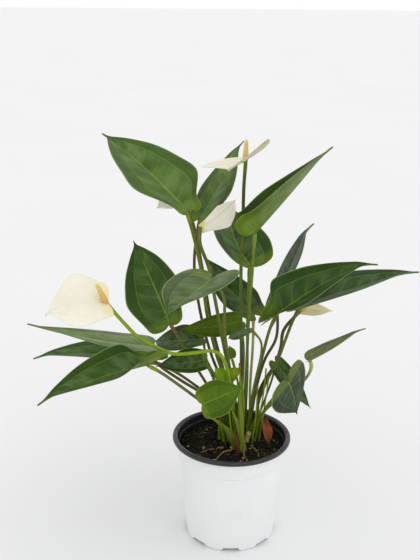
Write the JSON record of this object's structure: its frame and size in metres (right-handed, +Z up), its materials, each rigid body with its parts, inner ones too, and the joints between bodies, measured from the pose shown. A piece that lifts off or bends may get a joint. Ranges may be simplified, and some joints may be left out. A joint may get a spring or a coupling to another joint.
{
  "type": "potted anthurium",
  "caption": "Potted anthurium plant in a round nursery pot, with dark heart-shaped leaves and cream-white blooms on upright stalks.",
  "frame": {"origin": "middle of the pot's flat floor disc, on the plane the pot stands on", "axes": "+Z up along the pot's axis; the picture's camera looks along +Y, with +X to its right"},
  "size_m": [0.3903, 0.2494, 0.4102],
  "materials": {
    "pot": "smooth white moulded plastic with a black rim and inside",
    "soil": "loose dark peat with bark and root fibres",
    "leaf": "smooth dark green leaf with a waxy sheen and pale veins",
    "young_leaf": "soft yellow-green young leaf with a light sheen",
    "petiole": "smooth round leaf stalk, olive to brown",
    "flower_stalk": "smooth round flower stalk, yellow-green",
    "sheath": "papery green leaf sheath",
    "dry_leaf": "dry curled brown leaf",
    "spathe": "waxy cream-white spathe with faint ribs",
    "spadix": "finely knobbed pale yellow to peach spadix"
  },
  "bodies": {
    "root": {"cut_stub": "flower_stalk", "dead_leaf": "dry_leaf", "flower_d": "spathe", "flower_e": "spathe", "flower_stalk_a": "flower_stalk", "flower_stalk_b": "flower_stalk", "flower_stalk_c": "flower_stalk", "leaf_back_left": "leaf", "leaf_bright": "young_leaf", "leaf_centre_dark": "leaf", "leaf_centre_front": "leaf", "leaf_dark_high": "leaf", "leaf_dark_low": "leaf", "leaf_heart_back": "leaf", "leaf_heart_front": "leaf", "leaf_left_mid": "leaf", "leaf_long_left": "leaf", "leaf_low_left": "leaf", "leaf_mid_back": "leaf", "leaf_narrow": "leaf", "leaf_right_back": "leaf", "leaf_right_front": "leaf", "leaf_right_low": "leaf", "leaf_right_upright": "leaf", "leaf_round_front": "young_leaf", "leaf_upper_centre": "leaf", "leaf_upper_left": "leaf", "leaf_upper_right": "leaf", "leaf_young": "young_leaf", "petiole_back_left": "petiole", "petiole_centre_dark": "petiole", "petiole_centre_front": "petiole", "petiole_dark_low": "petiole", "petiole_heart_front": "petiole", "petiole_left_mid": "petiole", "petiole_long_left": "petiole", "petiole_low_left": "petiole", "petiole_mid_back": "petiole", "petiole_right_back": "petiole", "petiole_right_front": "petiole", "petiole_right_low": "petiole", "petiole_right_upright": "petiole", "petiole_round_front": "petiole", "petiole_upper_centre": "petiole", "petiole_upper_left": "petiole", "petiole_upper_right": "petiole", "petiole_young": "petiole", "pot": "pot", "sheath_brown": "dry_leaf", "sheath_green": "sheath", "soil": "soil", "spadix_a": "spadix", "spadix_b": "spadix", "spadix_c": "spadix", "spadix_d": "spadix", "spadix_e": "spadix", "spathe_a": "spathe", "spathe_b": "spathe", "spathe_c": "spathe"}
  },
  "joints": []
}
